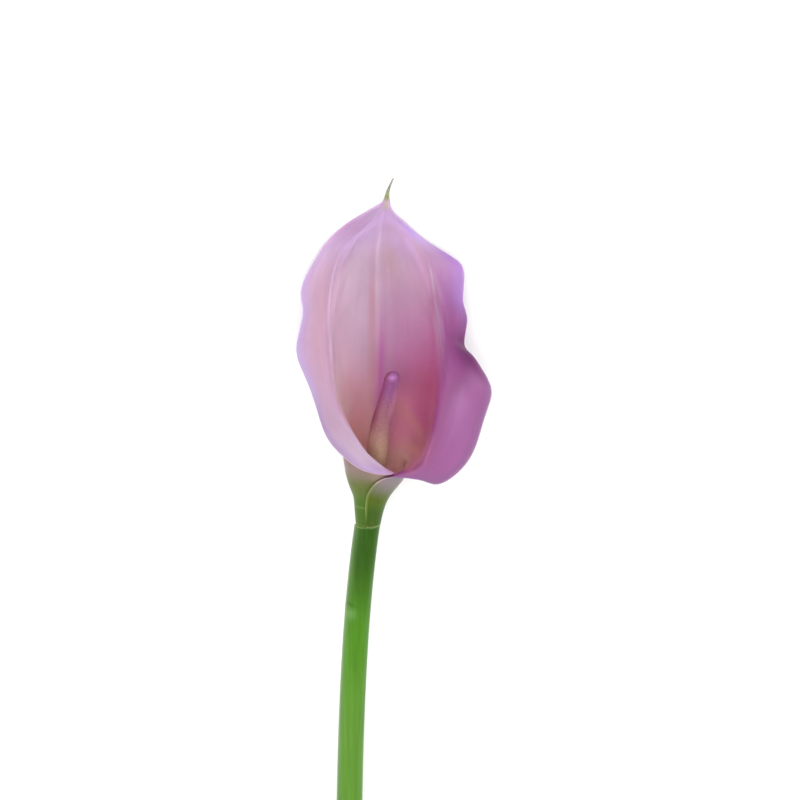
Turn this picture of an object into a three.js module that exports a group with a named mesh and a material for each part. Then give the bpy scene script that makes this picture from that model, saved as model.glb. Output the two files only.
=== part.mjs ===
// A cut calla lily flower, laid down on its back: the spathe, which is one petal-like sheet rolled into a
// funnel with a thin awn at its tip, the spadix that stands inside it, and the bare stem.
// Millimetres. The tip of the spathe points to +Y and its open face looks up, to +Z.
import * as THREE from 'three';

// Driving dimensions, in millimetres and degrees
const BLADE_THICKNESS = 0.8;
const MARGIN_THICKNESS = 0.62;
const KEEL_HEIGHT = 2.4;         // two low keels on the spathe's back, which it lies on
const KEEL_PLACE = 0.3;          // their distance from the midrib, as a share of half the sheet's width
const KEEL_WIDTH = 0.16;
const KEEL_RISE = [3.5, 6];      // stations between which they rise from the sheet
const KEEL_FALL = [6.8, 8.2];    // and between which they run out again
const MIDRIB_HEIGHT = 0.35;
const MIDRIB_WIDTH = 0.06;
const MIDRIB_RISE = [1, 3];
const MIDRIB_FALL = [8.5, 9.2];
const LEFT_SWELLING = 2;         // how far the funnel's sides stand out from a plain round section
const LEFT_SWELLING_PLACE = -0.4;
const LEFT_SWELLING_WIDTH = 0.2;
const LEFT_SWELLING_RISE = [0.9, 1.9];
const LEFT_SWELLING_FALL = [2.1, 3];
const RIGHT_SWELLING = 1.8;
const RIGHT_SWELLING_PLACE = 0.48;
const RIGHT_SWELLING_WIDTH = 0.22;
const RIGHT_SWELLING_STATION = 1.7;
const RIGHT_SWELLING_REACH = 0.45;
const STEM_LENGTH = 190;
const STEM_RADIUS = 4.1;         // at the flower's base
const STEM_TAPER = 0.2;          // how much thicker it is at the cut end
const STEM_BEND = 7.1;           // how far the stem's lower end lies to the left of the flower's base
const STEM_BEND_REACH = 50;      // length over which most of that bend happens
const SEAT_GAP = 0.3;            // between the stem's top face and what stands on it
const FLORET_HEIGHT = 0.12;
const FLORETS_AROUND = 9;
const FLORET_ROWS = 44;
const LEAST_SPADIX_RADIUS = 0.35;
const REST_PITCH = 2.93;         // the flower's head lies this much higher than the cut end of its stem
const REST_ROLL = -3.24;         // and its right side this much higher than its left

// Mesh density
const SPATHE_ROWS = [[1.8, 7], [3.6, 14], [9, 20], [10, 6]];   // a station, and the rows up to it
const SPATHE_COLUMNS = 28;
const STEM_ROWS = 24;
const STEM_SIDES = 24;

// The spathe is drawn through five guide curves that run from its base ring (station 0) to the tip of its
// awn (station 10): the left margin, the left rim, the midrib, the right rim and the right margin. A rim is
// the crest where the wall turns over into the margin. In the funnel the guides go round a leaning axis.
const FUNNEL_AXIS = [            // station, x, z
  [0, 0, 0], [1, 0.8, 0], [2, 2.9, 0], [3, 4.5, 0], [4, 5.6, 1], [5, 6, 3],
  [6, 5.8, 6], [7, 5.2, 9], [8, 4.8, 12], [9, 5.6, 14], [10, 8.2, 14],
];

// Funnel guides: station, degrees round the axis from the back, radius, height. The right layer passes
// outside the left one, so the angles overlap at the front.
const LEFT_MARGIN_FUNNEL = [
  [0, -213, 2.75, 0], [0.5, -217, 3.05, 4.4], [1, -222, 3.8, 9], [1.35, -225, 5, 12.5],
  [1.7, -226, 6.6, 15.6], [2.05, -224, 7.6, 18.6],
];
const LEFT_RIM_FUNNEL = [
  [0, -180, 2.9, 0], [0.5, -186, 3.4, 4.4], [1, -192, 4.2, 9], [1.35, -196, 5.3, 12.5],
  [1.7, -200, 6.9, 16.3], [2.05, -200, 9.3, 20.4],
];
const RIGHT_RIM_FUNNEL = [
  [0, 150, 3.75, 0], [0.5, 154, 4.45, 4.4], [1, 158, 5.5, 9], [1.35, 156, 6.6, 12.8],
  [1.7, 148, 8.2, 16.6], [2.05, 137, 9.8, 19.4], [2.35, 125, 12.2, 20.6],
];
const RIGHT_MARGIN_FUNNEL = [
  [0, 187, 3.75, 0], [0.5, 192, 4.3, 4.4], [1, 195, 5.35, 9], [1.35, 190, 6.7, 13.2],
  [1.7, 174, 8.4, 17.1], [2.05, 148, 10, 18.6],
];

// Limb guides, above the crossing of the two margins: station, x, y, z.
const MIDRIB = [
  [0, 0, 0, -3.7], [1, 0.4, 9, -5.2], [2, 1.2, 20, -8.2], [3, 1.7, 34, -12], [4, 2.1, 48, -15],
  [5, 2.5, 62, -17.2], [6, 2.5, 75, -18.4], [7, 2.9, 86, -18.3], [8, 4, 94, -17.9], [8.5, 4.7, 97.2, -18.4],
];
const LEFT_MARGIN_LIMB = [
  [2.3, 8.4, 20.3, 9.9], [2.55, 5.8, 20.9, 12.8], [3.05, -1.8, 22.7, 13], [3.5, -7.2, 25.9, 10.4],
  [4, -12, 29.7, 5.6], [5, -17.2, 42.1, -1], [5.5, -20.4, 49.7, -3.5], [6, -22.6, 57.8, -5.5],
  [6.5, -20.6, 67.9, -7.8], [7, -21.1, 75.4, -10.3], [7.5, -17, 83.6, -14], [8, -12.8, 89.5, -17],
  [8.5, -4.9, 95.9, -18.8], [8.75, 0.2, 98.9, -19.1], [9, 3.3, 100.7, -19.2],
];
const LEFT_RIM_LIMB = [
  [2.3, 5.4, 22.4, 10.9], [2.55, 3.5, 24.9, 11.4], [3.05, -1, 30.2, 11.2], [3.5, -4.6, 34.8, 9.3],
  [4, -7.8, 39.3, 7], [5, -11.5, 50.4, 2], [6, -12.5, 64.4, -4], [7, -11.4, 78.2, -11],
  [8, -5.9, 89.2, -16.3], [8.5, -0.5, 93.7, -18], [9, 4, 99.4, -19.2],
];
const RIGHT_RIM_LIMB = [
  [2.65, 16.8, 24.9, 9.4], [3.05, 19, 30, 10.5], [3.5, 20.8, 35.7, 9.5], [4, 22.2, 42, 8],
  [5, 24.2, 54, 3.5], [6, 24.2, 64.6, -2], [7, 21.9, 76.3, -9.5], [8, 16.2, 87.9, -16],
  [8.5, 11.7, 93.1, -18], [9, 7.2, 99.1, -19.2],
];
const RIGHT_MARGIN_LIMB = [
  [2.35, 13.6, 17.8, 7.2], [2.65, 17.8, 16.9, 7], [3.05, 22.6, 15.1, 5], [3.5, 29.3, 19.1, 4],
  [4, 34.4, 26.9, 3], [4.5, 37.6, 37.3, 2], [5, 39.5, 45.4, 1], [5.5, 35.9, 52.4, -2],
  [5.75, 33.4, 55.4, -4], [6, 31, 57.8, -6], [6.4, 31.8, 65.7, -8], [6.7, 30.8, 70.3, -9.1],
  [7, 30.6, 74, -10.4], [7.5, 30.2, 82.4, -13], [7.7, 28.2, 84, -14.6], [8, 24, 86.1, -17],
  [8.5, 16.4, 91, -18.8], [8.75, 11.8, 95.3, -19.1], [9, 7.9, 99.2, -19.2],
];

// The awn: station, x, y, z of its middle, and half its width.
const AWN = [
  [9, 5.7, 99.6, -19.3, 0], [9.2, 6, 101.6, -19.4, 1.3], [9.4, 6.2, 103, -19.5, 0.85],
  [9.6, 6.45, 104.6, -19.5, 0.58], [9.8, 7.15, 106.8, -19.4, 0.42], [10, 8.3, 109.4, -19.2, 0.27],
];
const RIM_SHARE = 0.55;          // a rim's distance from the middle of the awn, as a share of its half width

// How the sheet runs between its guides
const CREST_FIRMNESS = 0.8;      // how far the section swings round at a rim, as a share of a full swing
const CREST_ROUNDING = 8;        // length that is averaged to either side
const MOST_ROUNDING = 0.3;       // and its limit, as a share of half the sheet's width
const ROUNDING_STEPS = 4;        // points that are averaged to either side
const WALL_SHARE = 0.64;         // share of the columns between the midrib and a rim
const WALL_CROWDING = 1.35;      // they stand closer towards the rim
const THINNING_START = 0.4;      // place across the sheet where it begins to thin towards its margins
const LEVEL_BASE = 0.3;          // station up to which the sheet's faces turn level towards its base ring
const TOP_STATION = 10;

// The spadix: station along it in millimetres, then x, y, z and radius. It leans to the right.
const SPADIX_LINE = [
  [0, 0, 0.3, 0, 1.9], [5, 0.6, 5.3, 0.2, 2.05], [11, 1.6, 11.2, 0.4, 2.5], [20, 2.8, 20.1, 0.8, 3.1],
  [28, 3.5, 28, 1.2, 3.3], [35, 4.5, 35, 1.6, 3.15], [42, 6.2, 41.8, 1.9, 2.85], [48, 7.6, 47.6, 2.1, 2.6],
  [52.7, 8.6, 52.3, 2.2, 2.45],
];
const SPADIX_TIP = 2.9;          // length of its rounded tip

// Natural cubic spline through rows of a station and its values, as a function of the station.
function spline(rows) {
  const last = rows.length - 1;
  const width = rows[0].length;
  const gap = (i) => rows[i + 1][0] - rows[i][0];
  const slope = (i, v) => (rows[i + 1][v] - rows[i][v]) / gap(i);
  const bend = rows.map(() => new Array(width).fill(0));
  const carry = [0];
  for (let i = 1; i < last; i += 1) {
    const pivot = 2 * (gap(i - 1) + gap(i)) - gap(i - 1) * carry[i - 1];
    carry.push(gap(i) / pivot);
    for (let v = 1; v < width; v += 1) {
      const turn = 6 * (slope(i, v) - slope(i - 1, v));
      bend[i][v] = (turn - gap(i - 1) * bend[i - 1][v]) / pivot;
    }
  }
  for (let i = last - 1; i > 0; i -= 1) {
    for (let v = 1; v < width; v += 1) {
      bend[i][v] -= carry[i] * bend[i + 1][v];
    }
  }
  return (station) => {
    let i = 0;
    while (i < last - 1 && station > rows[i + 1][0]) {
      i += 1;
    }
    const h = gap(i);
    const before = station - rows[i][0];
    const after = rows[i + 1][0] - station;
    const values = [];
    for (let v = 1; v < width; v += 1) {
      const curved = (bend[i][v] * after ** 3 + bend[i + 1][v] * before ** 3) / (6 * h);
      const left = (rows[i][v] / h - bend[i][v] * h / 6) * after;
      const right = (rows[i + 1][v] / h - bend[i + 1][v] * h / 6) * before;
      values.push(curved + left + right);
    }
    return values;
  };
}

function ease(value, start, end) {
  return THREE.MathUtils.smoothstep(value, start, end);
}

const axisAt = spline(FUNNEL_AXIS);

// A funnel guide's point, as a station and x, y, z.
function roundAxis([station, degrees, radius, height]) {
  const [x, z] = axisAt(station);
  const angle = THREE.MathUtils.degToRad(degrees);
  return [station, x + radius * Math.sin(angle), height, z - radius * Math.cos(angle)];
}

// The awn's points on one guide: side is -1 for the left guides, 0 for the midrib and 1 for the right ones.
function awnPoints(side, share) {
  const first = side === 0 ? 0 : 1;
  return AWN.slice(first).map(([station, x, y, z, half]) => [station, x + side * share * half, y, z]);
}

const GUIDES = [
  [...LEFT_MARGIN_FUNNEL.map(roundAxis), ...LEFT_MARGIN_LIMB, ...awnPoints(-1, 1)],
  [...LEFT_RIM_FUNNEL.map(roundAxis), ...LEFT_RIM_LIMB, ...awnPoints(-1, RIM_SHARE)],
  [...MIDRIB, ...awnPoints(0, 0)],
  [...RIGHT_RIM_FUNNEL.map(roundAxis), ...RIGHT_RIM_LIMB, ...awnPoints(1, RIM_SHARE)],
  [...RIGHT_MARGIN_FUNNEL.map(roundAxis), ...RIGHT_MARGIN_LIMB, ...awnPoints(1, 1)],
].map(spline);

// A guide's point as angle, radius and height round the axis. The left guides turn from the back through
// -90 degrees and the right ones through +90, both past the front.
function polar([x, y, z], [axisX, axisZ], side) {
  let angle = Math.atan2(x - axisX, axisZ - z);
  if (side * angle < -Math.PI / 2) {
    angle += side * 2 * Math.PI;
  }
  return [angle, Math.hypot(x - axisX, z - axisZ), y];
}

function chord(p, q) {
  return Math.hypot((p[0] - q[0]) * (p[1] + q[1]) / 2, p[1] - q[1], p[2] - q[2]);
}

function hermite(p, q, slopeP, slopeQ, length, u) {
  return (2 * u ** 3 - 3 * u ** 2 + 1) * p + (u ** 3 - 2 * u ** 2 + u) * length * slopeP
    + (3 * u ** 2 - 2 * u ** 3) * q + (u ** 3 - u ** 2) * length * slopeQ;
}

// Half a cross-section, from the midrib over the rim to the margin. at(v) gives its point for v from 0 to 1,
// and the rim lies at v = knot, which is the share that the wall's chord has of both chords.
function halfSection(mid, rim, margin, otherRim) {
  const wall = chord(mid, rim);
  const length = wall + chord(rim, margin);
  const otherWall = chord(mid, otherRim);
  const knot = wall / length;
  const at = (v) => [0, 1, 2].map((n) => {
    const wallSlope = (rim[n] - mid[n]) / knot;
    const brimSlope = (margin[n] - rim[n]) / (1 - knot);
    const otherSlope = (mid[n] - otherRim[n]) * length / otherWall;
    const atMid = (wallSlope * otherWall + otherSlope * wall) / (wall + otherWall);
    const atRim = CREST_FIRMNESS * (wallSlope * knot + brimSlope * (1 - knot));
    const atMargin = (3 * brimSlope - atRim) / 2;
    return v < knot
      ? hermite(mid[n], rim[n], atMid, atRim, knot, v / knot)
      : hermite(rim[n], margin[n], atRim, atMargin, 1 - knot, (v - knot) / (1 - knot));
  });
  return { at, knot, length };
}

// A bell curve, 1 at the middle.
function bell(value, middle, width) {
  return Math.exp(-(((value - middle) / width) ** 2));
}

// How far the sheet stands out from its plain round section: two keels beside the midrib, which make the
// back of the limb broad enough to lie on, the midrib itself as a fine ridge on the open face, and the full
// sides of the funnel.
function relief(s, station) {
  const between = (rise, fall) => ease(station, ...rise) * (1 - ease(station, ...fall));
  const keels = bell(s, KEEL_PLACE, KEEL_WIDTH) + bell(s, -KEEL_PLACE, KEEL_WIDTH);
  const ridge = bell(s, 0, MIDRIB_WIDTH);
  const left = bell(s, LEFT_SWELLING_PLACE, LEFT_SWELLING_WIDTH);
  const right = bell(s, RIGHT_SWELLING_PLACE, RIGHT_SWELLING_WIDTH);
  return KEEL_HEIGHT * keels * between(KEEL_RISE, KEEL_FALL)
    - MIDRIB_HEIGHT * ridge * between(MIDRIB_RISE, MIDRIB_FALL)
    + LEFT_SWELLING * left * between(LEFT_SWELLING_RISE, LEFT_SWELLING_FALL)
    + RIGHT_SWELLING * right * bell(station, RIGHT_SWELLING_STATION, RIGHT_SWELLING_REACH);
}

// One cross-section of the sheet, as a function of the place across it, from -1 at the left margin to 1 at
// the right one. The rims lie at the places -WALL_SHARE and WALL_SHARE.
function section(station) {
  const centre = axisAt(station);
  const sides = [-1, -1, 1, 1, 1];
  const [leftMargin, leftRim, mid, rightRim, rightMargin] = GUIDES.map(
    (guide, n) => polar(guide(station), centre, sides[n]),
  );
  const left = halfSection(mid, leftRim, leftMargin, rightRim);
  const right = halfSection(mid, rightRim, rightMargin, leftRim);
  const sharp = (s) => {
    const [angle, radius, height] = s < 0 ? left.at(-s) : right.at(s);
    return new THREE.Vector3(
      centre[0] + radius * Math.sin(angle), height, centre[1] - radius * Math.cos(angle),
    );
  };
  const rounding = 2 * CREST_ROUNDING * ease(station, 1, 2.5) / (left.length + right.length);

  // The crests are rounded by a weighted mean over a stretch to either side.
  return (place) => {
    const knot = place < 0 ? left.knot : right.knot;
    const out = Math.abs(place);
    const v = out < WALL_SHARE
      ? knot * (1 - (1 - out / WALL_SHARE) ** WALL_CROWDING)
      : knot + (1 - knot) * (out - WALL_SHARE) / (1 - WALL_SHARE);
    const s = Math.sign(place) * v;
    const stretch = Math.min(rounding, MOST_ROUNDING, 1 - v);
    const mean = new THREE.Vector3();
    for (let n = -ROUNDING_STEPS; n <= ROUNDING_STEPS; n += 1) {
      const weight = (ROUNDING_STEPS + 1 - Math.abs(n)) / (ROUNDING_STEPS + 1) ** 2;
      mean.addScaledVector(sharp(s + stretch * n / ROUNDING_STEPS), weight);
    }
    const outward = new THREE.Vector3(mean.x - centre[0], 0, mean.z - centre[1]).normalize();
    return mean.addScaledVector(outward, relief(s, station));
  };
}

// The sheet's direction out of its open face, from short steps across and along it. The base ring is level,
// so there the direction is turned level too.
function faceNormal(place, station) {
  const step = 0.03;
  const cut = section(station);
  const across = cut(Math.min(place + step, 1)).sub(cut(Math.max(place - step, -1)));
  const along = section(Math.min(station + step, TOP_STATION))(place);
  along.sub(section(Math.max(station - step, 0))(place));
  const normal = across.cross(along).normalize();
  normal.y *= ease(station, 0, LEVEL_BASE);
  return normal;
}

function spatheStations() {
  const stations = [0];
  for (const [end, steps] of SPATHE_ROWS) {
    const start = stations.at(-1);
    for (let i = 1; i <= steps; i += 1) {
      stations.push(start + (end - start) * i / steps);
    }
  }
  return stations;
}

// Closes a front and a back grid of points into one body. Both are split along the same diagonals.
function closedSheet(front, back) {
  const rows = front.length;
  const columns = front[0].length;
  const positions = [...front.flat(), ...back.flat()].flatMap((p) => p.toArray());
  const frontAt = (i, j) => i * columns + j;
  const backAt = (i, j) => rows * columns + frontAt(i, j);
  const triangles = [];
  const quad = (a, b, c, d) => triangles.push(a, b, c, a, c, d);
  for (let i = 0; i < rows - 1; i += 1) {
    for (let j = 0; j < columns - 1; j += 1) {
      quad(frontAt(i, j), frontAt(i, j + 1), frontAt(i + 1, j + 1), frontAt(i + 1, j));
      const [a, b, c, d] = [backAt(i, j), backAt(i, j + 1), backAt(i + 1, j + 1), backAt(i + 1, j)];
      triangles.push(a, c, b, a, d, c);
    }
    const edge = columns - 1;
    quad(frontAt(i, 0), frontAt(i + 1, 0), backAt(i + 1, 0), backAt(i, 0));
    quad(frontAt(i + 1, edge), frontAt(i, edge), backAt(i, edge), backAt(i + 1, edge));
  }
  for (let j = 0; j < columns - 1; j += 1) {
    const end = rows - 1;
    quad(frontAt(0, j + 1), frontAt(0, j), backAt(0, j), backAt(0, j + 1));
    quad(frontAt(end, j), frontAt(end, j + 1), backAt(end, j + 1), backAt(end, j));
  }
  return geometryFrom(positions, triangles);
}

function geometryFrom(positions, triangles) {
  const geometry = new THREE.BufferGeometry();
  geometry.setAttribute('position', new THREE.Float32BufferAttribute(positions, 3));
  geometry.setIndex(triangles);
  geometry.computeVertexNormals();
  return geometry;
}

// The spathe: front and back faces half the local thickness to either side of the sheet.
function spatheGeometry() {
  const front = [];
  const back = [];
  for (const station of spatheStations()) {
    const cut = section(station);
    front.push([]);
    back.push([]);
    for (let j = 0; j <= SPATHE_COLUMNS; j += 1) {
      const place = 2 * j / SPATHE_COLUMNS - 1;
      const thinning = ease(Math.abs(place), THINNING_START, WALL_SHARE);
      const thickness = THREE.MathUtils.lerp(BLADE_THICKNESS, MARGIN_THICKNESS, thinning);
      const offset = faceNormal(place, station).multiplyScalar(thickness / 2);
      front.at(-1).push(cut(place).add(offset));
      back.at(-1).push(cut(place).sub(offset));
    }
  }
  return closedSheet(front, back);
}

// A closed tube whose rings lie level with the flower's base. lineAt gives a ring's centre for u from 0 to
// 1, radiusAt its radius for u and an angle, and the ends are flat fans. It has to run towards +Y.
function tubeGeometry(lineAt, radiusAt, rows, sides) {
  const positions = [];
  const triangles = [];
  for (let i = 0; i <= rows; i += 1) {
    const centre = lineAt(i / rows);
    for (let j = 0; j < sides; j += 1) {
      const angle = 2 * Math.PI * j / sides;
      const radius = radiusAt(i / rows, angle);
      positions.push(centre.x + radius * Math.sin(angle), centre.y, centre.z - radius * Math.cos(angle));
    }
  }
  for (let i = 0; i < rows; i += 1) {
    for (let j = 0; j < sides; j += 1) {
      const a = i * sides + j;
      const b = i * sides + (j + 1) % sides;
      triangles.push(a, b + sides, b, a, a + sides, b + sides);
    }
  }
  const middles = positions.length / 3;
  positions.push(...lineAt(0).toArray(), ...lineAt(1).toArray());
  for (let j = 0; j < sides; j += 1) {
    const next = (j + 1) % sides;
    triangles.push(middles, j, next);
    triangles.push(middles + 1, rows * sides + next, rows * sides + j);
  }
  return geometryFrom(positions, triangles);
}

// The spadix: a finger covered with small florets, which are a checked relief on its surface.
function spadixGeometry() {
  const line = spline(SPADIX_LINE);
  const length = SPADIX_LINE.at(-1)[0];
  const lineAt = (u) => new THREE.Vector3(...line(u * length).slice(0, 3));
  const radiusAt = (u, angle) => {
    const left = length * (1 - u);
    const round = Math.sqrt(Math.max(0, 1 - Math.max(0, 1 - left / SPADIX_TIP) ** 2));
    const florets = Math.cos(FLORETS_AROUND * angle) * Math.cos(Math.PI * FLORET_ROWS * u);
    return Math.max(LEAST_SPADIX_RADIUS, round * (line(u * length)[3] + FLORET_HEIGHT * florets));
  };
  return tubeGeometry(lineAt, radiusAt, FLORET_ROWS, 2 * FLORETS_AROUND);
}

// The stem, from its cut end up to the flower's base. It bends to the left on the way down.
function stemGeometry() {
  const lineAt = (u) => {
    const y = -SEAT_GAP - STEM_LENGTH * (1 - u);
    return new THREE.Vector3(-STEM_BEND * (1 - Math.exp(y / STEM_BEND_REACH)), y, 0);
  };
  const radiusAt = (u) => STEM_RADIUS + STEM_TAPER * (1 - u);
  return tubeGeometry(lineAt, radiusAt, STEM_ROWS, STEM_SIDES);
}

function mesh(name, geometry, color, roughness) {
  const piece = new THREE.Mesh(geometry, new THREE.MeshStandardMaterial({ color, roughness, metalness: 0 }));
  piece.name = name;
  return piece;
}

// The flower is built upright on its own base, laid down on the stem's cut end and the two keels, and then
// moved so that the middle of its box stands on the origin.
const flower = new THREE.Group();
flower.add(mesh('spathe', spatheGeometry(), 0xc58cb8, 0.5));
flower.add(mesh('spadix', spadixGeometry(), 0xa08a55, 0.75));
flower.add(mesh('stem', stemGeometry(), 0x5b9636, 0.45));
flower.rotation.set(THREE.MathUtils.degToRad(REST_PITCH), THREE.MathUtils.degToRad(REST_ROLL), 0);

const part = new THREE.Group();
part.add(flower);
part.updateMatrixWorld(true);
const box = new THREE.Box3().setFromObject(part, true);
const centre = box.getCenter(new THREE.Vector3());
part.position.set(-centre.x, -centre.y, -box.min.z);

export default part;
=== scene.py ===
import math

import bpy
import numpy as np
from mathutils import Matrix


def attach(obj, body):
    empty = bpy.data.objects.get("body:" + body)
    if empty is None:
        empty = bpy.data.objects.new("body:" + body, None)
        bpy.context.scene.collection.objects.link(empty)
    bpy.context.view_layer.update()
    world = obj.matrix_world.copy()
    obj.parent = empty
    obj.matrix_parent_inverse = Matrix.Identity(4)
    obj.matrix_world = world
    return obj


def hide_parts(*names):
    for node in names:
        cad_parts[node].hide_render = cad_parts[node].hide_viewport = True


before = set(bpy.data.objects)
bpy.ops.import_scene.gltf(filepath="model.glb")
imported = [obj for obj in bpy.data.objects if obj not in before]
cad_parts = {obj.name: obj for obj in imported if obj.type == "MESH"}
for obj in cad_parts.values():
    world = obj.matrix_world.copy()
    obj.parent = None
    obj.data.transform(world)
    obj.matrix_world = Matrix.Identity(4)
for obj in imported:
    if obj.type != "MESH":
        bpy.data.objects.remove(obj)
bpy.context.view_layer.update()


# The stem: a bare, smooth stalk of firm green tissue, cut square at its lower end. The flower grows on its
# top, and it bends to the left on the way down. A small scar swells its left side below the flower.

# Lengths are in millimetres, in the flower's own frame: the middle of its base is the origin, its tip points
# to +Y and its open face looks to +Z. It is then laid down on its back.
STEM_LENGTH = 190
STEM_RADIUS = 4.1
STEM_TAPER = 0.2                 # how much thicker it is at the cut end
STEM_BEND = 7.1                  # how far its lower end lies to the left of the flower's base
STEM_BEND_REACH = 50             # length over which most of that bend happens
STEM_FOOT = -0.3 - STEM_LENGTH   # height of its cut end
STEM_TOP = -0.04                 # height of its top face, a hair under the flower's base
STEM_ROWS = 420
STEM_SIDES = 96
CUT_ROWS = 9                     # rings over the cut face
EDGE_ROWS = 5                    # rings round each of its two edges
CUT_EDGE = 0.35                  # radius of the lower edge
TOP_EDGE = 0.4                   # radius of the upper one
STEM_RIBS = 11                   # faint ridges that run down it
STEM_RIB_HEIGHT = 0.035
STEM_RIB_SWAY = 0.9              # how far they wander to either side, in radians of their wave
STEM_RIB_WAVE = 31               # and the length of one such wave, divided by 2 pi
SCAR_PLACE = -27.4               # height of the scar's middle
SCAR_ANGLE = math.radians(-38)   # and its direction, from the open side
SCAR_HEIGHT = 0.22
SCAR_LENGTH = 2.6
SCAR_WIDTH = 0.8

REST_PITCH = math.radians(2.93)  # the flower's head lies this much higher than the cut end of its stem
REST_ROLL = math.radians(-3.24)  # and its right side this much higher than its left
BASE_PLACE = np.array([-8.620, 39.992, 14.411])   # of the flower's base, as it lies
LIGHT_GAIN = 1.2                 # the light is this much too strong for the pigments, and bleaches the floor


def smooth(value, start, end):
    """3u^2 - 2u^3 of u = (value - start) / (end - start), held between 0 and 1."""
    u = np.clip((value - start) / (end - start), 0, 1)
    return u * u * (3 - 2 * u)


def fall(value, start, end):
    """1 at the start and before it, down to 0 at the end and past it: the reverse of smooth."""
    return 1 - smooth(value, start, end)


def band(value, start, full, fade, end):
    """Rises from start to full, stays at 1, and falls from fade to end."""
    return smooth(value, start, full) * fall(value, fade, end)


def bell(value, middle, width):
    """A bell curve, exp(-((value - middle) / width)^2)."""
    return np.exp(-(((value - middle) / width) ** 2))


def turn_to_rest(vectors):
    """Turns by REST_ROLL about Y and then by REST_PITCH about X."""
    pitch = np.array([
        [1, 0, 0],
        [0, math.cos(REST_PITCH), -math.sin(REST_PITCH)],
        [0, math.sin(REST_PITCH), math.cos(REST_PITCH)],
    ])
    roll = np.array([
        [math.cos(REST_ROLL), 0, math.sin(REST_ROLL)],
        [0, 1, 0],
        [-math.sin(REST_ROLL), 0, math.cos(REST_ROLL)],
    ])
    return vectors @ (pitch @ roll).T


def lay_down(points):
    """Flower points in millimetres to places in metres on the surface the flower lies on."""
    return (turn_to_rest(points) + BASE_PLACE) / 1000


def srgb(red, green, blue):
    """Linear values of a colour given from 0 to 255: ((c + 0.055) / 1.055)^2.4, over LIGHT_GAIN."""
    return ((np.array([red, green, blue]) / 255 + 0.055) / 1.055) ** 2.4 / LIGHT_GAIN


def tinted(base, colour, amount):
    """base * (1 - amount) + colour * amount, with one amount for each point."""
    return base + (colour - base) * amount[..., None]


def ring_piece(name, rings, poles, tint, across, along):
    """A closed mesh from rings of points, running up the flower, each joined to the next by quads. poles are
    the two end points that close it with fans, or None, where each end closes across the flat ring itself.
    tint is a colour for each point, and across and along are its coordinates on the map."""
    rows, sides = rings.shape[:2]
    i, j = np.meshgrid(np.arange(rows - 1), np.arange(sides), indexing="ij")
    here = i * sides + j
    beside = i * sides + (j + 1) % sides
    faces = np.stack([here, beside, beside + sides, here + sides], -1).reshape(-1, 4).tolist()
    points = lay_down(rings.reshape(-1, 3))
    last = (rows - 1) * sides
    if poles is None:
        half = sides // 2
        step = np.arange(half - 1)
        first_end = np.stack([step, sides - 1 - step, sides - 2 - step, step + 1], -1)
        faces += first_end.tolist() + (last + first_end[:, ::-1]).tolist()
    else:
        points = np.vstack([points, lay_down(np.array(poles, float))])
        step = np.arange(sides)
        after = (step + 1) % sides
        faces += np.stack([np.full(sides, rows * sides), after, step], -1).tolist()
        faces += np.stack([np.full(sides, rows * sides + 1), last + step, last + after], -1).tolist()
        tint = np.concatenate([tint.reshape(-1, 3), tint[0, :1], tint[-1, :1]])
        across = np.append(across, [across.mean()] * 2)
        along = np.append(along, [along.min(), along.max()])
    mesh = bpy.data.meshes.new(name)
    mesh.from_pydata(points.tolist(), [], faces)
    mesh.polygons.foreach_set("use_smooth", np.ones(len(faces), bool))
    corners = np.zeros(len(mesh.loops), int)
    mesh.loops.foreach_get("vertex_index", corners)
    chart = mesh.uv_layers.new(name="chart")
    chart.data.foreach_set("uv", np.stack([across.ravel(), along.ravel()], -1)[corners].ravel())
    colour = mesh.attributes.new("tint", "FLOAT_COLOR", "POINT")
    rgba = np.ones((len(points), 4))
    rgba[:, :3] = tint.reshape(-1, 3)
    colour.data.foreach_set("color", rgba.ravel())
    mesh.update()
    piece = bpy.data.objects.new(name, mesh)
    bpy.context.scene.collection.objects.link(piece)
    return piece


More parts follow.
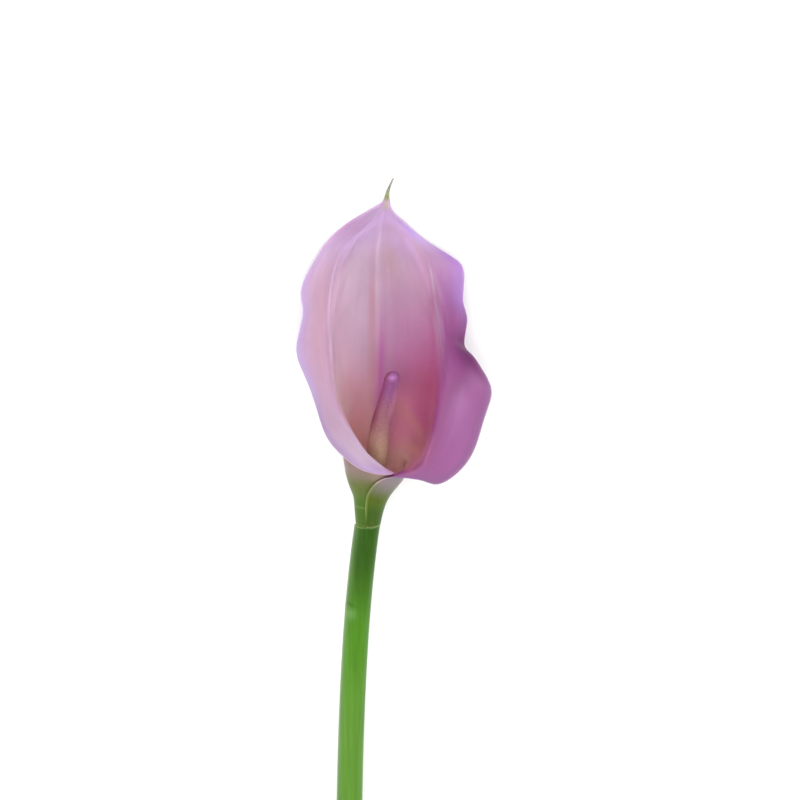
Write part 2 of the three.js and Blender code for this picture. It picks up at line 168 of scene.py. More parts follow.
class Finish:
    """A material's node tree, with a short call for each kind of node it uses."""

    def __init__(self, name, roughness, shine):
        self.material = bpy.data.materials.new(name)
        self.material.use_nodes = True
        self.nodes = self.material.node_tree.nodes
        self.links = self.material.node_tree.links
        self.shader = self.nodes["Principled BSDF"]
        self.shader.inputs["Roughness"].default_value = roughness
        self.shader.inputs["Specular IOR Level"].default_value = shine

    def flesh(self, weight, radius, scale):
        """Lets light a little way into the tissue: radius for red, green and blue, times scale in metres."""
        self.shader.inputs["Subsurface Weight"].default_value = weight
        self.shader.inputs["Subsurface Radius"].default_value = radius
        self.shader.inputs["Subsurface Scale"].default_value = scale

    def tint(self):
        """The colour that the mesh holds at each point."""
        node = self.nodes.new("ShaderNodeAttribute")
        node.attribute_name = "tint"
        return node.outputs["Color"]

    def noise(self, coordinates, stretch, detail=3):
        """Noise on one of the coordinate outputs, stretched by a scale for each axis."""
        source = self.nodes.new("ShaderNodeTexCoord")
        mapping = self.nodes.new("ShaderNodeMapping")
        mapping.inputs["Scale"].default_value = stretch
        texture = self.nodes.new("ShaderNodeTexNoise")
        texture.inputs["Scale"].default_value = 1
        texture.inputs["Detail"].default_value = detail
        self.links.new(source.outputs[coordinates], mapping.inputs["Vector"])
        self.links.new(mapping.outputs["Vector"], texture.inputs["Vector"])
        return texture.outputs["Fac"]

    def shaded(self, colour, noise, low, high, darkest, lightest):
        """The colour times a number that goes from darkest to lightest as the noise goes from low to high."""
        strength = self.nodes.new("ShaderNodeMapRange")
        strength.inputs["From Min"].default_value = low
        strength.inputs["From Max"].default_value = high
        strength.inputs["To Min"].default_value = darkest
        strength.inputs["To Max"].default_value = lightest
        product = self.nodes.new("ShaderNodeVectorMath")
        product.operation = "SCALE"
        self.links.new(noise, strength.inputs["Value"])
        self.links.new(colour, product.inputs[0])
        self.links.new(strength.outputs["Result"], product.inputs["Scale"])
        return product.outputs["Vector"]

    def paint(self, colour):
        """Makes a colour output the colour of the surface."""
        self.links.new(colour, self.shader.inputs["Base Color"])

    def bump(self, height, distance, strength):
        """Tilts the surface as a relief of this height would, distance metres high."""
        node = self.nodes.new("ShaderNodeBump")
        node.inputs["Strength"].default_value = strength
        node.inputs["Distance"].default_value = distance
        self.links.new(height, node.inputs["Height"])
        self.links.new(node.outputs["Normal"], self.shader.inputs["Normal"])


def stem_rings():
    """Rings level with the flower's base, centred on x = -STEM_BEND * (1 - exp(y / STEM_BEND_REACH)). The
    first rings cross the cut face and go round its edge in a quarter circle, and the last go round the upper
    edge. The radius also carries the ribs and the scar. Returns the points, their heights, their angles from
    the open side and their share of the radius."""
    across_cut = np.linspace(0.04, 1, CUT_ROWS) ** 0.8   # from near its middle to its edge
    quarter = np.linspace(0, np.pi / 2, EDGE_ROWS + 1)[1:]
    side = np.linspace(STEM_FOOT + CUT_EDGE, STEM_TOP - TOP_EDGE, STEM_ROWS)[1:]
    inset = np.concatenate([
        CUT_EDGE + (STEM_RADIUS - CUT_EDGE) * (1 - across_cut),
        CUT_EDGE * (1 - np.sin(quarter)),
        np.zeros(len(side)),
        TOP_EDGE * (1 - np.cos(quarter)),
    ])
    heights = np.concatenate([
        np.full(len(across_cut), STEM_FOOT),
        STEM_FOOT + CUT_EDGE * (1 - np.cos(quarter)),
        side,
        STEM_TOP - TOP_EDGE * (1 - np.sin(quarter)),
    ])[:, None]
    angles = np.linspace(-np.pi, np.pi, STEM_SIDES, endpoint=False)[None, :]
    radius = STEM_RADIUS - STEM_TAPER * heights / STEM_LENGTH
    share = (radius - inset[:, None]) / radius
    ribs = STEM_RIB_HEIGHT * np.cos(STEM_RIBS * angles + STEM_RIB_SWAY * np.sin(heights / STEM_RIB_WAVE))
    scar = SCAR_HEIGHT * bell(heights, SCAR_PLACE, SCAR_LENGTH) * bell(angles, SCAR_ANGLE, SCAR_WIDTH)
    outline = share * (radius + ribs + scar)
    x = outline * np.sin(angles) - STEM_BEND * (1 - np.exp(heights / STEM_BEND_REACH))
    z = outline * np.cos(angles)
    y = np.broadcast_to(heights, x.shape)
    return np.stack([x, y, z], -1), y, np.broadcast_to(angles, x.shape), np.broadcast_to(share, x.shape)


UPPER_GREEN = srgb(46, 86, 8)
MIDDLE_GREEN = srgb(77, 134, 24)
LOWER_GREEN = srgb(91, 139, 45)
# Painted light: rim light on both sides, a highlight on the scar, and shade in a crease line over it.
STEM_LEFT_RIM_LIGHT = srgb(112, 144, 85)
STEM_RIGHT_RIM_LIGHT = srgb(100, 142, 72)
SCAR_HIGHLIGHT = srgb(128, 168, 100)
CREASE_SHADE = srgb(40, 80, 14)
SCAR_RING = srgb(120, 156, 84)
# Pale tissue of the top face, painted lighter still to lift the shade in the seam under the flower.
TOP_FACE_AND_SEAM_LIGHT = srgb(132, 168, 92)
CUT_TISSUE = srgb(196, 214, 150)
VESSEL = srgb(120, 150, 70)


def stem_tint(heights, angles, share):
    """Deep green under the flower and lighter further down, with painted rim light making both sides paler. A
    pale ring of scar tissue runs round the very top, and the scar carries a painted highlight with painted
    shade in a crease line over it. Both end faces are pale wet tissue, the top one painted lighter still to
    lift the shade in the seam under the flower, and the cut one with small vessels where sin(9 * angle) *
    sin(19 * share) is high."""
    tint = np.broadcast_to(UPPER_GREEN, heights.shape + (3,))
    tint = tinted(tint, MIDDLE_GREEN, smooth(-heights, 8, 40))
    tint = tinted(tint, LOWER_GREEN, smooth(-heights, 35, 70))
    # Painted rim light: both sides are paler.
    tint = tinted(tint, STEM_LEFT_RIM_LIGHT, 0.6 * bell(angles, -1.25, 0.5))
    tint = tinted(tint, STEM_RIGHT_RIM_LIGHT, 0.5 * bell(angles, 1.35, 0.4))
    beside = angles - SCAR_ANGLE
    # Painted highlight on the scar's swelling, and painted shade in a crease line over it.
    tint = tinted(tint, SCAR_HIGHLIGHT, 0.45 * bell(heights, SCAR_PLACE - 2, 1.9) * bell(beside, 0, 0.5))
    crease_shade_line = SCAR_PLACE + 1.2 - 1.1 * beside
    tint = tinted(tint, CREASE_SHADE, 0.5 * bell(heights, crease_shade_line, 0.5) * bell(beside, 0, 0.45))
    ring = smooth(heights, STEM_TOP - 1.2 * TOP_EDGE, STEM_TOP) * (1 - 0.7 * bell(angles, -0.1, 0.35))
    tint = tinted(tint, SCAR_RING, 0.7 * ring)
    inside = fall(share, 0.9, 0.99)
    # The top face is pale tissue, painted lighter still to lift the shade in the seam under the flower.
    tint = tinted(tint, TOP_FACE_AND_SEAM_LIGHT, inside * smooth(heights, -1, -0.5))
    cut = inside * fall(heights, STEM_FOOT, STEM_FOOT + 1)
    tint = tinted(tint, CUT_TISSUE, cut)
    vessels = smooth(np.sin(angles * 9) * np.sin(share * 19), 0.55, 0.9)
    return tinted(tint, VESSEL, 0.5 * cut * vessels)


rings, heights, angles, share = stem_rings()
stem_ends = [
    [-STEM_BEND * (1 - math.exp(STEM_FOOT / STEM_BEND_REACH)), STEM_FOOT, 0],
    [0, STEM_TOP, 0],
]
stem = ring_piece(
    "stem_stalk", rings, stem_ends, stem_tint(heights, angles, share), angles / np.pi, heights / STEM_LENGTH,
)

skin = Finish("stem skin", roughness=0.36, shine=0.12)
streaks = skin.noise("Object", stretch=(900, 24, 900))
skin.paint(skin.shaded(skin.tint(), streaks, 0.25, 0.75, 0.86, 1.12))
skin.flesh(weight=0.25, radius=(0.8, 1.0, 0.3), scale=0.0016)
skin.bump(streaks, distance=0.00012, strength=0.5)
stem.data.materials.append(skin.material)
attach(stem, "root")
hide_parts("stem")


# The spathe: one soft, slightly translucent sheet grown on the stem's top. It rolls into a green funnel, its
# right edge outside its left one, opens into a lilac limb with waved, turned-back margins, and runs out at
# its tip into a thin green awn.

# It is drawn through five guide curves that run from its base, station 0, to the awn's tip, station 10. A rim
# is the crest where the wall turns over into the margin. A place across it is a share of half its width, from
# -1 at the left margin over 0 at the midrib to 1 at the right margin.
LAST_STATION = 10
BLADE_THICKNESS = 0.8
WRAPPED_THICKNESS = 0.62         # of its margins where they wrap round the funnel
MARGIN_THICKNESS = 0.34          # and further up
AWN_THICKNESS = 0.4
EDGE_ROUNDING = 0.03             # places over which a margin is rounded off
KEEL_HEIGHT = 2.4                # two low keels on the back, which it lies on
KEEL_PLACE = 0.3
KEEL_WIDTH = 0.16
MIDRIB_HEIGHT = 0.35
MIDRIB_WIDTH = 0.06
RIB_HEIGHT = 0.25                # two finer ribs run up the limb on either side of it
RIB_WIDTH = 0.03
LEFT_SWELLING = 2                # how far the funnel's sides stand out from a plain round section
RIGHT_SWELLING = 1.8
FLAP_TUCK = 0.6                  # how much closer the wrapped margin lies to the layer under it
CREST_FIRMNESS = 0.8             # how far the section swings round at a rim, as a share of a full swing
CREST_ROUNDING = 8               # length that is averaged to either side
MOST_ROUNDING = 0.3              # and its limit, in places
ROUNDING_STEPS = 4
WALL_SHARE = 0.64                # the rims' place
WALL_CROWDING = 1.35             # the columns stand closer towards the rim
MARGIN_CROWDING = 0.35           # and towards the margin
SPATHE_ROWS = [(0, 1.8, 40), (1.8, 3.6, 84), (3.6, 9, 126), (9, LAST_STATION, 24)]   # from, to, how many
SPATHE_COLUMNS = 148

FUNNEL_AXIS = [                  # station, x, z
    (0, 0, 0), (1, 0.8, 0), (2, 2.9, 0), (3, 4.5, 0), (4, 5.6, 1), (5, 6, 3),
    (6, 5.8, 6), (7, 5.2, 9), (8, 4.8, 12), (9, 5.6, 14), (10, 8.2, 14),
]

# Funnel guides: station, degrees round the leaning axis from the back, radius, height.
LEFT_MARGIN_FUNNEL = [
    (0, -213, 2.75, 0), (0.5, -217, 3.05, 4.4), (1, -222, 3.8, 9), (1.35, -225, 5, 12.5),
    (1.7, -226, 6.6, 15.6), (2.05, -224, 7.6, 18.6),
]
LEFT_RIM_FUNNEL = [
    (0, -180, 2.9, 0), (0.5, -186, 3.4, 4.4), (1, -192, 4.2, 9), (1.35, -196, 5.3, 12.5),
    (1.7, -200, 6.9, 16.3), (2.05, -200, 9.3, 20.4),
]
RIGHT_RIM_FUNNEL = [
    (0, 150, 3.75, 0), (0.5, 154, 4.45, 4.4), (1, 158, 5.5, 9), (1.35, 156, 6.6, 12.8),
    (1.7, 148, 8.2, 16.6), (2.05, 137, 9.8, 19.4), (2.35, 125, 12.2, 20.6),
]
RIGHT_MARGIN_FUNNEL = [
    (0, 187, 3.75, 0), (0.5, 192, 4.3, 4.4), (1, 195, 5.35, 9), (1.35, 190, 6.7, 13.2),
    (1.7, 174, 8.4, 17.1), (2.05, 148, 10, 18.6),
]

# Limb guides: station, x, y, z.
MIDRIB = [
    (0, 0, 0, -3.7), (1, 0.4, 9, -5.2), (2, 1.2, 20, -8.2), (3, 1.7, 34, -12), (4, 2.1, 48, -15),
    (5, 2.5, 62, -17.2), (6, 2.5, 75, -18.4), (7, 2.9, 86, -18.3), (8, 4, 94, -17.9), (8.5, 4.7, 97.2, -18.4),
]
LEFT_MARGIN_LIMB = [
    (2.3, 8.4, 20.3, 9.9), (2.55, 5.8, 20.9, 12.8), (3.05, -1.8, 22.7, 13), (3.5, -7.2, 25.9, 10.4),
    (4, -12, 29.7, 5.6), (5, -17.2, 42.1, -1), (5.5, -20.4, 49.7, -3.5), (6, -22.6, 57.8, -5.5),
    (6.5, -20.6, 67.9, -7.8), (7, -21.1, 75.4, -10.3), (7.5, -17, 83.6, -14), (8, -12.8, 89.5, -17),
    (8.5, -4.9, 95.9, -18.8), (8.75, 0.2, 98.9, -19.1), (9, 3.3, 100.7, -19.2),
]
LEFT_RIM_LIMB = [
    (2.3, 5.4, 22.4, 10.9), (2.55, 3.5, 24.9, 11.4), (3.05, -1, 30.2, 11.2), (3.5, -4.6, 34.8, 9.3),
    (4, -7.8, 39.3, 7), (5, -11.5, 50.4, 2), (6, -12.5, 64.4, -4), (7, -11.4, 78.2, -11),
    (8, -5.9, 89.2, -16.3), (8.5, -0.5, 93.7, -18), (9, 4, 99.4, -19.2),
]
RIGHT_RIM_LIMB = [
    (2.65, 16.8, 24.9, 9.4), (3.05, 19, 30, 10.5), (3.5, 20.8, 35.7, 9.5), (4, 22.2, 42, 8),
    (5, 24.2, 54, 3.5), (6, 24.2, 64.6, -2), (7, 21.9, 76.3, -9.5), (8, 16.2, 87.9, -16),
    (8.5, 11.7, 93.1, -18), (9, 7.2, 99.1, -19.2),
]
RIGHT_MARGIN_LIMB = [
    (2.35, 13.6, 17.8, 7.2), (2.65, 17.8, 16.9, 7), (3.05, 22.6, 15.1, 5), (3.5, 29.3, 19.1, 4),
    (4, 34.4, 26.9, 3), (4.5, 37.6, 37.3, 2), (5, 39.5, 45.4, 1), (5.5, 35.9, 52.4, -2),
    (5.75, 33.4, 55.4, -4), (6, 31, 57.8, -6), (6.4, 31.8, 65.7, -8), (6.7, 30.8, 70.3, -9.1),
    (7, 30.6, 74, -10.4), (7.5, 30.2, 82.4, -13), (7.7, 28.2, 84, -14.6), (8, 24, 86.1, -17),
    (8.5, 16.4, 91, -18.8), (8.75, 11.8, 95.3, -19.1), (9, 7.9, 99.2, -19.2),
]

# The awn: station, x, y, z of its middle, and half its width. On each guide it takes a share of that width.
AWN = [
    (9, 5.7, 99.6, -19.3, 0), (9.2, 6, 101.6, -19.4, 1.3), (9.4, 6.2, 103, -19.5, 0.85),
    (9.6, 6.45, 104.6, -19.5, 0.58), (9.8, 7.15, 106.8, -19.4, 0.42), (10, 8.3, 109.4, -19.2, 0.27),
]
RIM_SHARE = 0.55                 # on the rims' guides


def spline(rows, at):
    """Natural cubic spline through rows of a station and its values, read at the stations in at. Its second
    derivatives m solve h0*m0 + 2*(h0 + h1)*m1 + h1*m2 = 6*(slope1 - slope0), with 0 at both ends."""
    table = np.array(rows, float)
    knots, values = table[:, 0], table[:, 1:]
    gaps = np.diff(knots)
    slopes = np.diff(values, axis=0) / gaps[:, None]
    system = np.eye(len(knots))
    inner = np.arange(1, len(knots) - 1)
    system[inner, inner - 1] = gaps[:-1]
    system[inner, inner] = 2 * (gaps[:-1] + gaps[1:])
    system[inner, inner + 1] = gaps[1:]
    turns = np.zeros_like(values)
    turns[1:-1] = 6 * np.diff(slopes, axis=0)
    bend = np.linalg.solve(system, turns)
    i = np.clip(np.searchsorted(knots, at, side="right") - 1, 0, len(gaps) - 1)
    gap = gaps[i][:, None]
    before = (at - knots[i])[:, None]
    after = gap - before
    curved = (bend[i] * after ** 3 + bend[i + 1] * before ** 3) / (6 * gap)
    return (curved + (values[i] / gap - bend[i] * gap / 6) * after
            + (values[i + 1] / gap - bend[i + 1] * gap / 6) * before)


def round_axis(rows):
    """Funnel guide rows to station, x, y, z: x and z go round the axis as radius * sin and -radius * cos."""
    station, degrees, radius, height = np.array(rows, float).T
    x, z = spline(FUNNEL_AXIS, station).T
    angle = np.radians(degrees)
    return np.stack([station, x + radius * np.sin(angle), height, z - radius * np.cos(angle)], -1)


def awn_guide(side, width_share):
    """The awn's rows on one guide. side is -1 for the left guides, 0 for the midrib, 1 for the right ones.
    The midrib also takes the first row, at the awn's foot, where the other guides still end on the limb."""
    station, x, y, z, half_width = np.array(AWN, float)[0 if side == 0 else 1:].T
    return np.stack([station, x + side * width_share * half_width, y, z], -1)


GUIDES = [
    np.vstack([round_axis(LEFT_MARGIN_FUNNEL), LEFT_MARGIN_LIMB, awn_guide(-1, 1)]),
    np.vstack([round_axis(LEFT_RIM_FUNNEL), LEFT_RIM_LIMB, awn_guide(-1, RIM_SHARE)]),
    np.vstack([MIDRIB, awn_guide(0, 0)]),
    np.vstack([round_axis(RIGHT_RIM_FUNNEL), RIGHT_RIM_LIMB, awn_guide(1, RIM_SHARE)]),
    np.vstack([round_axis(RIGHT_MARGIN_FUNNEL), RIGHT_MARGIN_LIMB, awn_guide(1, 1)]),
]


def polar(points, axis, side):
    """Points as angle, radius and height round the axis. The left guides turn from the back through -90
    degrees and the right ones through +90, both past the front."""
    x = points[:, 0] - axis[:, 0]
    z = points[:, 2] - axis[:, 1]
    angle = np.arctan2(x, -z)
    angle = np.where(side * angle < -np.pi / 2, angle + side * 2 * np.pi, angle)
    return np.stack([angle, np.hypot(x, z), points[:, 1]], -1)[:, None, :]


def chord(p, q):
    """Straight distance of two polar points, with their turn measured at their mean radius."""
    turn = (p[..., 0] - q[..., 0]) * (p[..., 1] + q[..., 1]) / 2
    return np.sqrt(turn ** 2 + ((p - q)[..., 1:] ** 2).sum(-1))


def half_section(mid, rim, margin, other_rim):
    """Half a cross-section, from the midrib over the rim to the margin, as cubic Hermite stretches. Returns
    a function of v from 0 to 1, the v of the rim, which is the wall's share of both chords, and their sum."""
    wall = chord(mid, rim)
    length = wall + chord(rim, margin)
    other_wall = chord(mid, other_rim)
    knot = (wall / length)[..., None]
    wall_slope = (rim - mid) / knot
    brim_slope = (margin - rim) / (1 - knot)
    other_slope = (mid - other_rim) * (length / other_wall)[..., None]
    near, far = wall[..., None], other_wall[..., None]
    at_mid = (wall_slope * far + other_slope * near) / (near + far)
    at_rim = CREST_FIRMNESS * (wall_slope * knot + brim_slope * (1 - knot))
    at_margin = (3 * brim_slope - at_rim) / 2

    def stretch(p, q, slope_p, slope_q, span, u):
        return ((2 * u ** 3 - 3 * u ** 2 + 1) * p + (u ** 3 - 2 * u ** 2 + u) * span * slope_p
                + (3 * u ** 2 - 2 * u ** 3) * q + (u ** 3 - u ** 2) * span * slope_q)

    def at(v):
        u = v[..., None]
        inner = stretch(mid, rim, at_mid, at_rim, knot, np.clip(u / knot, 0, 1))
        outer = stretch(rim, margin, at_rim, at_margin, 1 - knot, np.clip((u - knot) / (1 - knot), 0, 1))
        return np.where(u < knot, inner, outer)

    return at, knot[..., 0], length


def rib_places(station):
    """The places of two side ribs. The left one is at -0.57 and nears the midrib below station 6. The right
    one is at 0.48 there and runs out towards the margin both above and below."""
    above = np.maximum(station - 6, 0)
    below = np.maximum(6 - station, 0)
    return -0.57 + 0.13 * below, 0.48 + 0.06 * above ** 2 + 0.15 * below ** 2


def rib_rise(station):
    """How much of its full height a side rib has: it fades in low on the limb and out below the tip."""
    return band(station, 4.6, 5.6, 7.1, 7.9)


def spathe_sheet(stations, places):
    """The middle of the sheet, with a row for each station and a column for each place across it. Each point
    is a weighted mean over a stretch of its section, which rounds the crests. It is then moved out from the
    axis by the keels and by a swelling on either side of the funnel, and in by the midrib's ridge, the side
    ribs and the tuck of the wrapped margin. Each of these is a height times a bell across the sheet, times a
    bell or a band along it."""
    axis = spline(FUNNEL_AXIS, stations)
    curves = [polar(spline(guide, stations), axis, side) for guide, side in zip(GUIDES, (-1, -1, 1, 1, 1))]
    left_margin, left_rim, mid, right_rim, right_margin = curves
    left_at, left_knot, left_length = half_section(mid, left_rim, left_margin, right_rim)
    right_at, right_knot, right_length = half_section(mid, right_rim, right_margin, left_rim)
    knot = np.where(places < 0, left_knot, right_knot)
    out = np.abs(places)[None, :]
    wall = knot * (1 - (1 - np.minimum(out / WALL_SHARE, 1)) ** WALL_CROWDING)
    brim = knot + (1 - knot) * (out - WALL_SHARE) / (1 - WALL_SHARE)
    v = np.where(out < WALL_SHARE, wall, brim)
    s = np.sign(places) * v
    station = stations[:, None]
    rounding = 2 * CREST_ROUNDING * smooth(station, 1, 2.5) / (left_length + right_length)
    reach = np.minimum(np.minimum(rounding, MOST_ROUNDING), 1 - v)
    points = np.zeros(s.shape + (3,))
    for n in range(-ROUNDING_STEPS, ROUNDING_STEPS + 1):
        weight = (ROUNDING_STEPS + 1 - abs(n)) / (ROUNDING_STEPS + 1) ** 2
        near = s + reach * n / ROUNDING_STEPS
        angle, radius, height = np.moveaxis(
            np.where(near[..., None] < 0, left_at(np.abs(near)), right_at(np.abs(near))), -1, 0,
        )
        x = axis[:, None, 0] + radius * np.sin(angle)
        z = axis[:, None, 1] - radius * np.cos(angle)
        points += weight * np.stack([x, height, z], -1)
    outward = points - np.insert(axis, 1, 0, axis=1)[:, None, :]
    outward[..., 1] = 0
    outward /= np.linalg.norm(outward, axis=-1, keepdims=True)
    keels = KEEL_HEIGHT * (bell(s, KEEL_PLACE, KEEL_WIDTH) + bell(s, -KEEL_PLACE, KEEL_WIDTH))
    moved = keels * band(station, 3.5, 6, 6.8, 8.2)
    moved += LEFT_SWELLING * bell(s, -0.4, 0.2) * band(station, 0.9, 1.9, 2.1, 3)
    moved += RIGHT_SWELLING * bell(s, 0.48, 0.22) * bell(station, 1.7, 0.45)
    moved -= FLAP_TUCK * bell(s, 1, 0.09) * bell(station, 1.84, 0.24)
    moved -= MIDRIB_HEIGHT * bell(s, 0, MIDRIB_WIDTH) * band(station, 1, 3, 8.5, 9.2)
    for rib in rib_places(station):
        moved -= RIB_HEIGHT * bell(places, rib, RIB_WIDTH) * rib_rise(station)
    return points + outward * moved[..., None]


def sheet_normals(points, stations):
    """The sheet's direction out of its open face: its step across crossed with its step along. The base ring
    is level, so there the direction is turned level too."""
    normals = np.cross(np.gradient(points, axis=1), np.gradient(points, axis=0))
    normals /= np.linalg.norm(normals, axis=-1, keepdims=True)
    normals[..., 1] *= smooth(stations, 0, 0.3)[:, None]
    return normals


def sheet_thickness(places, stations):
    """Full thickness in the wall, thinner over the brim, rounded off to nothing at the very margins. From the
    tip into the awn it changes to the awn's."""
    station = stations[:, None]
    margin = WRAPPED_THICKNESS + (MARGIN_THICKNESS - WRAPPED_THICKNESS) * smooth(station, 1.5, 2.5)
    thickness = BLADE_THICKNESS + (margin - BLADE_THICKNESS) * smooth(np.abs(places), 0.4, 0.8)
    thickness += (AWN_THICKNESS - thickness) * smooth(station, 8.9, 9.3)
    to_edge = np.minimum((1 - np.abs(places)) / EDGE_ROUNDING, 1)
    return thickness * np.sqrt(1 - (1 - to_edge) ** 2)


LILAC = srgb(187, 154, 178)
PALE_LILAC = srgb(206, 180, 197)
CREAM_PINK = srgb(203, 182, 178)
SALMON = srgb(198, 150, 155)
ROSE_PINK_FILL_LIGHT = srgb(197, 128, 148)
MAUVE = srgb(172, 111, 153)
ROSE = srgb(152, 46, 101)
WINE = srgb(170, 96, 124)
TAN = srgb(187, 152, 140)
PALE_TAN_AND_CREVICE_LIGHT = srgb(208, 170, 160)
PINK_TAN_LIGHT = srgb(186, 140, 124)
ROSE_TAN = srgb(176, 112, 134)
MAGENTA = srgb(132, 72, 124)
SOFT_MAGENTA = srgb(133, 77, 131)
MAGENTA_HIGHLIGHT = srgb(152, 104, 150)
PLUM = srgb(114, 51, 105)
PLUM_SHADE = srgb(72, 22, 68)
GREY_PLUM = srgb(113, 75, 119)
RIM_MAUVE = srgb(158, 78, 128)
RIM_PLUM_SHADE = srgb(120, 58, 105)
TIP_LILAC = srgb(192, 159, 199)
BRIGHT_VIOLET_SHEEN = srgb(194, 158, 230)
VIOLET_SHEEN = srgb(137, 103, 169)
GREY_LILAC = srgb(170, 140, 163)
SILVER_LILAC = srgb(179, 155, 177)
BLUE_LILAC_SHEEN = srgb(160, 142, 184)
PINK_VIOLET = srgb(194, 146, 191)
DUSKY_PINK = srgb(177, 141, 157)
LIP_SHADE = srgb(128, 84, 102)
PALE_RIB = srgb(186, 163, 182)
BROWN_PINK = srgb(183, 128, 140)
PURPLE = srgb(178, 95, 157)

LEAF_GREEN = srgb(75, 108, 30)
MOSS = srgb(96, 107, 48)
MAUVE_BROWN = srgb(143, 122, 117)
DEEP_GREEN = srgb(60, 92, 16)
OLIVE = srgb(82, 99, 12)
GREYED_MAUVE = srgb(140, 126, 132)
PALE_OLIVE_SCAR_AND_LIGHT = srgb(126, 142, 76)
CREAM_GREEN = srgb(182, 172, 142)
AWN_GREEN = srgb(128, 146, 88)
AWN_GREY = srgb(112, 126, 106)


# In the functions for the spathe's colours k is the station and p the place.

def wall_tint(k, p):
    """The open face between the rims: lilac with paler patches, salmon to pale tan down the left of the
    throat, and mauve, rose and wine to tan down its right, where a rose pink strip of painted light beside
    the spadix lifts the shade it casts."""
    tint = np.broadcast_to(LILAC, np.broadcast(k, p).shape + (3,))
    tint = tinted(tint, PALE_LILAC, bell(p, -0.32, 0.2) * bell(k, 6, 2.2))
    tint = tinted(tint, CREAM_PINK, bell(p, -0.38, 0.2) * bell(k, 4, 0.9))
    tint = tinted(tint, SALMON, fall(k, 2.8, 4.8) * fall(p, -0.02, 0.08))
    tint = tinted(tint, CREAM_PINK, 0.8 * bell(p, -0.23, 0.09) * bell(k, 3.3, 0.45))
    tint = tinted(tint, PALE_LILAC, 0.5 * bell(p, -0.34, 0.08) * bell(k, 4.5, 0.8))
    tint = tinted(tint, PALE_LILAC, 0.35 * bell(p, 0.21, 0.08) * bell(k, 6.2, 0.7))
    tint = tinted(tint, MAUVE, smooth(p, -0.02, 0.1) * fall(k - 0.8 * p, 3.4, 7.4))
    tint = tinted(tint, ROSE, smooth(p, 0.06, 0.36) * fall(k - 1.2 * p, 2.8, 5.4))
    tint = tinted(tint, WINE, bell(p, 0.32, 0.2) * bell(k, 3.6, 0.7))
    tint = tinted(tint, ROSE, 0.3 * bell(p, 0.3, 0.06) * bell(k, 3.8, 0.5))
    tint = tinted(tint, ROSE, 0.2 * bell(p, 0.18, 0.08) * bell(k, 3, 0.5))
    tint = tinted(tint, TAN, fall(k + 0.5 * p, 2.2, 3.1) * fall(np.abs(p - 0.12), 0.35, 0.65))
    tint = tinted(tint, PALE_TAN_AND_CREVICE_LIGHT, fall(k, 2.4, 3.2) * fall(p, -0.15, 0.1))
    # Painted light: a rose pink strip beside the spadix lifts the shade it casts.
    return tinted(tint, ROSE_PINK_FILL_LIGHT, 0.8 * bell(p, 0.12, 0.08) * band(k, 2, 2.5, 3.1, 3.9))


def right_brim_tint(tint, k, p):
    """Over the right rim and brim: magenta and plum, with painted shade along the outer side of the rim, in
    the folded notch and in a streak down from it, and painted highlights on the swell of the brim. It is
    greyed along the lower margin and violet with painted sheen along the upper one. Below the rim, in the
    throat, lie a rose tan patch, two pale tan arcs of painted light showing through the layers, and a rose
    spot."""
    tint = tinted(tint, MAGENTA, smooth(p, 0.36, 0.68) * fall(k, 6.6, 8.3))
    tint = tinted(tint, PLUM, smooth(p, 0.5, 0.8) * bell(k, 5.45, 1.1))
    tint = tinted(tint, RIM_MAUVE, 0.8 * bell(p, 0.56, 0.08) * bell(k, 3.6, 0.8))
    # Painted shade along the outer side of the right rim.
    tint = tinted(tint, RIM_PLUM_SHADE, 0.9 * bell(p, 0.74, 0.1) * fall(k, 4.4, 5.3))
    bow = 0.3 + 0.09 * np.maximum(k - 5.2, 0) ** 2
    tint = tinted(tint, RIM_MAUVE, 0.4 * bell(p, bow, 0.06) * band(k, 4.2, 4.9, 6.4, 7))
    # Painted shade in the notch, where the margin folds, and in a streak running down from it.
    tint = tinted(tint, PLUM_SHADE, bell(p, 1, 0.19) * bell(k, 5.6, 0.33))
    tint = tinted(tint, PLUM_SHADE, 0.5 * bell(k - 7.5 * p, -1.15, 0.5) * smooth(p, 0.68, 0.78))
    tint = tinted(tint, SOFT_MAGENTA, bell(p, 0.88, 0.13) * bell(k, 4.1, 0.75))
    # Painted highlights on the swell of the brim.
    tint = tinted(tint, MAGENTA_HIGHLIGHT, 0.35 * bell(p, 0.84, 0.07) * bell(k, 4.45, 0.35))
    tint = tinted(tint, MAGENTA_HIGHLIGHT, 0.3 * bell(p, 0.92, 0.07) * bell(k, 5.05, 0.25))
    tint = tinted(tint, GREY_PLUM, smooth(p, 0.93, 1) * fall(k, 5, 6))
    tint = tinted(tint, GREY_PLUM, 0.6 * smooth(p, 0.78, 0.94) * fall(k, 2.5, 3.6))
    tint = tinted(tint, ROSE_TAN, 0.95 * bell(p, 0.5, 0.19) * band(k, 2.1, 2.4, 2.8, 3.6))
    # Two pale arcs of painted light, where light shows through the wrapped layers.
    upper_light_arc = bell(k + 2.1 * p, 3.32, 0.17) * band(p, 0.06, 0.14, 0.36, 0.46)
    lower_light_arc = bell(k - 0.35 * p, 2.35, 0.07) * band(p, 0.14, 0.22, 0.4, 0.55)
    tint = tinted(tint, PINK_TAN_LIGHT, 0.38 * upper_light_arc + 0.4 * lower_light_arc)
    tint = tinted(tint, ROSE, 0.25 * bell(k, 2.62, 0.12) * bell(p, 0.36, 0.08))
    tint = tinted(tint, LILAC, 0.5 * bell(p, 0.63, 0.08) * bell(k, 7.1, 0.6))
    # Violet with painted sheen along the upper margin and over the brim below it.
    tint = tinted(tint, VIOLET_SHEEN, smooth(p, 0.8, 1) * band(k, 6, 7, 8.2, 8.8))
    return tinted(tint, VIOLET_SHEEN, 0.25 * smooth(p, 0.55, 0.8) * band(k, 6.2, 7, 8.2, 8.8))


